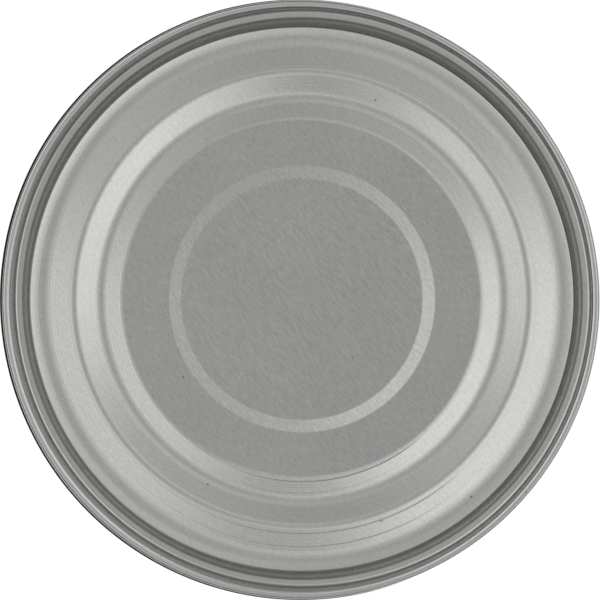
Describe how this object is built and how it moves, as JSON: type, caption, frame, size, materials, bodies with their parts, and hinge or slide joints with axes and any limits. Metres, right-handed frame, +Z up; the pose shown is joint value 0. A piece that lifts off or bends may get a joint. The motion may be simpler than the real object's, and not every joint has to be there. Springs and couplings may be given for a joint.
{
  "type": "tennis ball can",
  "caption": "Round sealed metal can for tennis balls, with double-seamed ends, a beaded base, a ring-pull tear panel under a push-on overcap, and the felt balls inside.",
  "frame": {"origin": "centre of the base, on the plane that the lower seam stands on", "axes": "+Z up the can's axis to the overcap; +X from the axis towards the nose of the pull tab; the welded side seam is on +Y"},
  "size_m": [0.079, 0.079, 0.2124],
  "materials": {
    "printed_tinplate": "gloss lacquered print",
    "bare_tinplate": "satin rolled tinplate",
    "sealing_rubber": "matt",
    "cap_plastic": "satin, slightly milky",
    "core_rubber": "matt",
    "felt": "napped felt",
    "ball_seam_rubber": "matt"
  },
  "bodies": {
    "can": {"can_body": "printed_tinplate", "bottom_end": "bare_tinplate", "bottom_seam_compound": "sealing_rubber", "top_end_ring": "bare_tinplate", "top_seam_compound": "sealing_rubber"},
    "ball_1": {"ball_1_core_half_a": "core_rubber", "ball_1_core_half_b": "core_rubber", "ball_1_felt_a": "felt", "ball_1_felt_b": "felt", "ball_1_seam": "ball_seam_rubber"},
    "ball_2": {"ball_2_core_half_a": "core_rubber", "ball_2_core_half_b": "core_rubber", "ball_2_felt_a": "felt", "ball_2_felt_b": "felt", "ball_2_seam": "ball_seam_rubber"},
    "ball_3": {"ball_3_core_half_a": "core_rubber", "ball_3_core_half_b": "core_rubber", "ball_3_felt_a": "felt", "ball_3_felt_b": "felt", "ball_3_seam": "ball_seam_rubber"},
    "tear_panel": {"tear_panel": "bare_tinplate", "tab_tongue": "bare_tinplate"},
    "pull_tab": {"pull_tab": "bare_tinplate"},
    "overcap": {"overcap": "cap_plastic"}
  },
  "joints": [
    {"name": "ball_1_lift", "type": "slide", "parent": "can", "child": "ball_1", "axis": [0, 0, 1], "range_m": [0, 0.21]},
    {"name": "ball_2_lift", "type": "slide", "parent": "ball_1", "child": "ball_2", "axis": [0, 0, 1], "range_m": [0, 0.144]},
    {"name": "ball_3_lift", "type": "slide", "parent": "ball_2", "child": "ball_3", "axis": [0, 0, 1], "range_m": [0, 0.078]},
    {"name": "panel_lift", "type": "slide", "parent": "ball_3", "child": "tear_panel", "axis": [0, 0, 1], "range_m": [0, 0.04]},
    {"name": "cap_lift", "type": "slide", "parent": "tear_panel", "child": "overcap", "axis": [0, 0, 1], "range_m": [0, 0.06]},
    {"name": "tab_raise", "type": "hinge", "parent": "tear_panel", "child": "pull_tab", "pos_m": [0.0324, 0, 0.20735], "axis": [0, 1, 0], "range_deg": [0, 90]}
  ],
  "couplings": [
    {"joint": "tab_raise", "follows": "cap_lift", "rad_per_m": 26.177}
  ]
}
